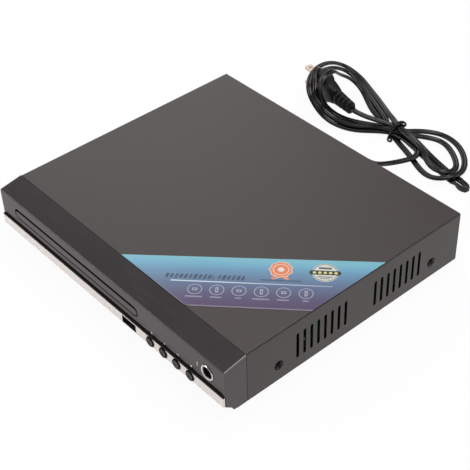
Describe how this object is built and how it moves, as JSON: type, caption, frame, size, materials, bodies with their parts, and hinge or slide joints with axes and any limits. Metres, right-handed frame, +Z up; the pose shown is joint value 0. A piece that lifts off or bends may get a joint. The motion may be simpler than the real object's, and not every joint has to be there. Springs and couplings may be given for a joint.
{
  "type": "disc player",
  "caption": "Compact disc player with a motor-driven tray, front buttons, memory and microphone sockets, vented steel cover and tied mains lead.",
  "frame": {"origin": "on the table under the middle of the case, without its lead", "axes": "+X to the right as seen from the front, +Y to the rear, +Z up"},
  "size_m": [0.2264, 0.3132, 0.0402],
  "materials": {
    "cover paint": "fine textured dark grey paint",
    "zinc steel": "bare zinc-coated sheet",
    "bezel plastic": "fine grained dark grey",
    "bright trim": "satin silver",
    "smoked window": "glossy smoked",
    "printed sheet": "satin printed film",
    "rubber": "matt",
    "dark plastic": "moulded",
    "white plastic": "moulded natural",
    "button plastic": "gloss",
    "motor can": "nickel plated",
    "rod steel": "ground",
    "turntable metal": "dark anodised",
    "lens glass": "clear",
    "circuit board": "solder mask",
    "component black": "moulded",
    "transformer tape": "tape over ferrite",
    "connector metal": "tin plated",
    "jack ring metal": "polished",
    "screw steel": "blackened",
    "zinc screw": "zinc plated",
    "cord vinyl": "flexible vinyl",
    "brass": "plated"
  },
  "bodies": {
    "case": {"top_cover": "cover paint", "chassis_pan": "zinc steel", "front_bezel": "bezel plastic", "trim_strip": "bright trim", "window_strip": "smoked window", "label_sheet": "printed sheet", "rear_feet": "rubber", "loader_frame": "dark plastic", "drive_belt": "rubber", "loading_motor": "motor can", "clamp_bridge": "dark plastic", "main_board": "circuit board", "main_chips": "component black", "av_sockets": "component black", "hdmi_socket": "connector metal", "power_board": "circuit board", "power_transformer": "transformer tape", "filter_capacitors": "component black", "front_board": "circuit board", "tact_switches": "component black", "remote_sensor": "component black", "usb_socket": "connector metal", "mic_jack": "component black", "jack_ring": "jack ring metal", "side_screws": "screw steel", "rear_screws": "screw steel", "board_screws": "zinc screw", "loader_screws": "zinc screw", "cord_grip": "cord vinyl", "cord_lead": "cord vinyl", "cord_hank": "cord vinyl", "plug_lead": "cord vinyl", "cord_tie": "cord vinyl", "plug_body": "cord vinyl", "plug_blades": "brass"},
    "tray": {"disc_tray": "dark plastic", "tray_door": "bezel plastic"},
    "drive_gear": {"drive_gear": "white plastic"},
    "idler": {"idler_gear": "white plastic"},
    "pulley": {"pulley_gear": "white plastic"},
    "motor_pulley": {"motor_pulley": "white plastic"},
    "traverse": {"traverse_frame": "dark plastic", "sled_base": "zinc steel", "dampers": "rubber", "spindle_motor": "motor can", "guide_rods": "rod steel", "feed_motor": "motor can"},
    "turntable": {"turntable": "turntable metal", "turntable_pad": "rubber"},
    "pickup": {"pickup_body": "dark plastic", "pickup_lens": "lens glass"},
    "feed_screw": {"feed_screw": "rod steel"},
    "cam": {"cam_slide": "white plastic"},
    "clamp": {"clamp_puck": "white plastic", "clamp_magnet": "motor can"},
    "button_1": {"button_1": "button plastic"},
    "button_2": {"button_2": "button plastic"},
    "button_3": {"button_3": "button plastic"},
    "button_4": {"button_4": "button plastic"}
  },
  "joints": [
    {"name": "tray_slide", "type": "slide", "parent": "case", "child": "tray", "axis": [0, -1, 0], "range_m": [0, 0.125]},
    {"name": "drive_gear_turn", "type": "hinge", "parent": "case", "child": "drive_gear", "pos_m": [-0.10123, -0.08485, 0.02], "axis": [0, 0, 1], "range_deg": [-1120.06, 1]},
    {"name": "idler_turn", "type": "hinge", "parent": "case", "child": "idler", "pos_m": [-0.09133, -0.07792, 0.018], "axis": [0, 0, 1], "range_deg": [-1, 1279.92]},
    {"name": "pulley_turn", "type": "hinge", "parent": "case", "child": "pulley", "pos_m": [-0.07047, -0.07883, 0.018], "axis": [0, 0, 1], "range_deg": [-4264.08, 1]},
    {"name": "motor_pulley_turn", "type": "hinge", "parent": "case", "child": "motor_pulley", "pos_m": [-0.03587, -0.06983, 0.02], "axis": [0, 0, 1], "range_deg": [-15226.28, 1]},
    {"name": "traverse_tilt", "type": "hinge", "parent": "case", "child": "traverse", "pos_m": [-0.03155, 0.04515, 0.017], "axis": [-1, 0, 0], "range_deg": [0, 5]},
    {"name": "cam_shift", "type": "slide", "parent": "case", "child": "cam", "axis": [-1, 0, 0], "range_m": [0, 0.022]},
    {"name": "turntable_spin", "type": "hinge", "parent": "traverse", "child": "turntable", "pos_m": [-0.03155, -0.03316, 0.01717], "axis": [0, -0.0872, 0.9962], "continuous": true},
    {"name": "clamp_spin", "type": "hinge", "parent": "case", "child": "clamp", "pos_m": [-0.03155, -0.03285, 0.031], "axis": [0, 0, 1], "continuous": true},
    {"name": "pickup_travel", "type": "slide", "parent": "traverse", "child": "pickup", "axis": [0, 0.9962, 0.0872], "range_m": [0, 0.034]},
    {"name": "feed_screw_turn", "type": "hinge", "parent": "traverse", "child": "feed_screw", "pos_m": [-0.06555, -0.00041, 0.01], "axis": [0, 0.9962, 0.0872], "range_deg": [-4082, 2]},
    {"name": "button_1_press", "type": "slide", "parent": "case", "child": "button_1", "axis": [0, 1, 0], "range_m": [0, 0.0005], "stiffness_N_per_m": 400},
    {"name": "button_2_press", "type": "slide", "parent": "case", "child": "button_2", "axis": [0, 1, 0], "range_m": [0, 0.0005], "stiffness_N_per_m": 400},
    {"name": "button_3_press", "type": "slide", "parent": "case", "child": "button_3", "axis": [0, 1, 0], "range_m": [0, 0.0005], "stiffness_N_per_m": 400},
    {"name": "button_4_press", "type": "slide", "parent": "case", "child": "button_4", "axis": [0, 1, 0], "range_m": [0, 0.0005], "stiffness_N_per_m": 400}
  ],
  "couplings": [
    {"joint": "drive_gear_turn", "follows": "tray_slide", "rad_per_m": -156.25},
    {"joint": "idler_turn", "follows": "tray_slide", "rad_per_m": 178.57},
    {"joint": "pulley_turn", "follows": "tray_slide", "rad_per_m": -595.24},
    {"joint": "motor_pulley_turn", "follows": "tray_slide", "rad_per_m": -2125.8},
    {"joint": "cam_shift", "follows": "traverse_tilt", "m_per_rad": 0.252},
    {"joint": "clamp_spin", "follows": "turntable_spin", "ratio": 1},
    {"joint": "feed_screw_turn", "follows": "pickup_travel", "rad_per_m": -2094.4}
  ]
}
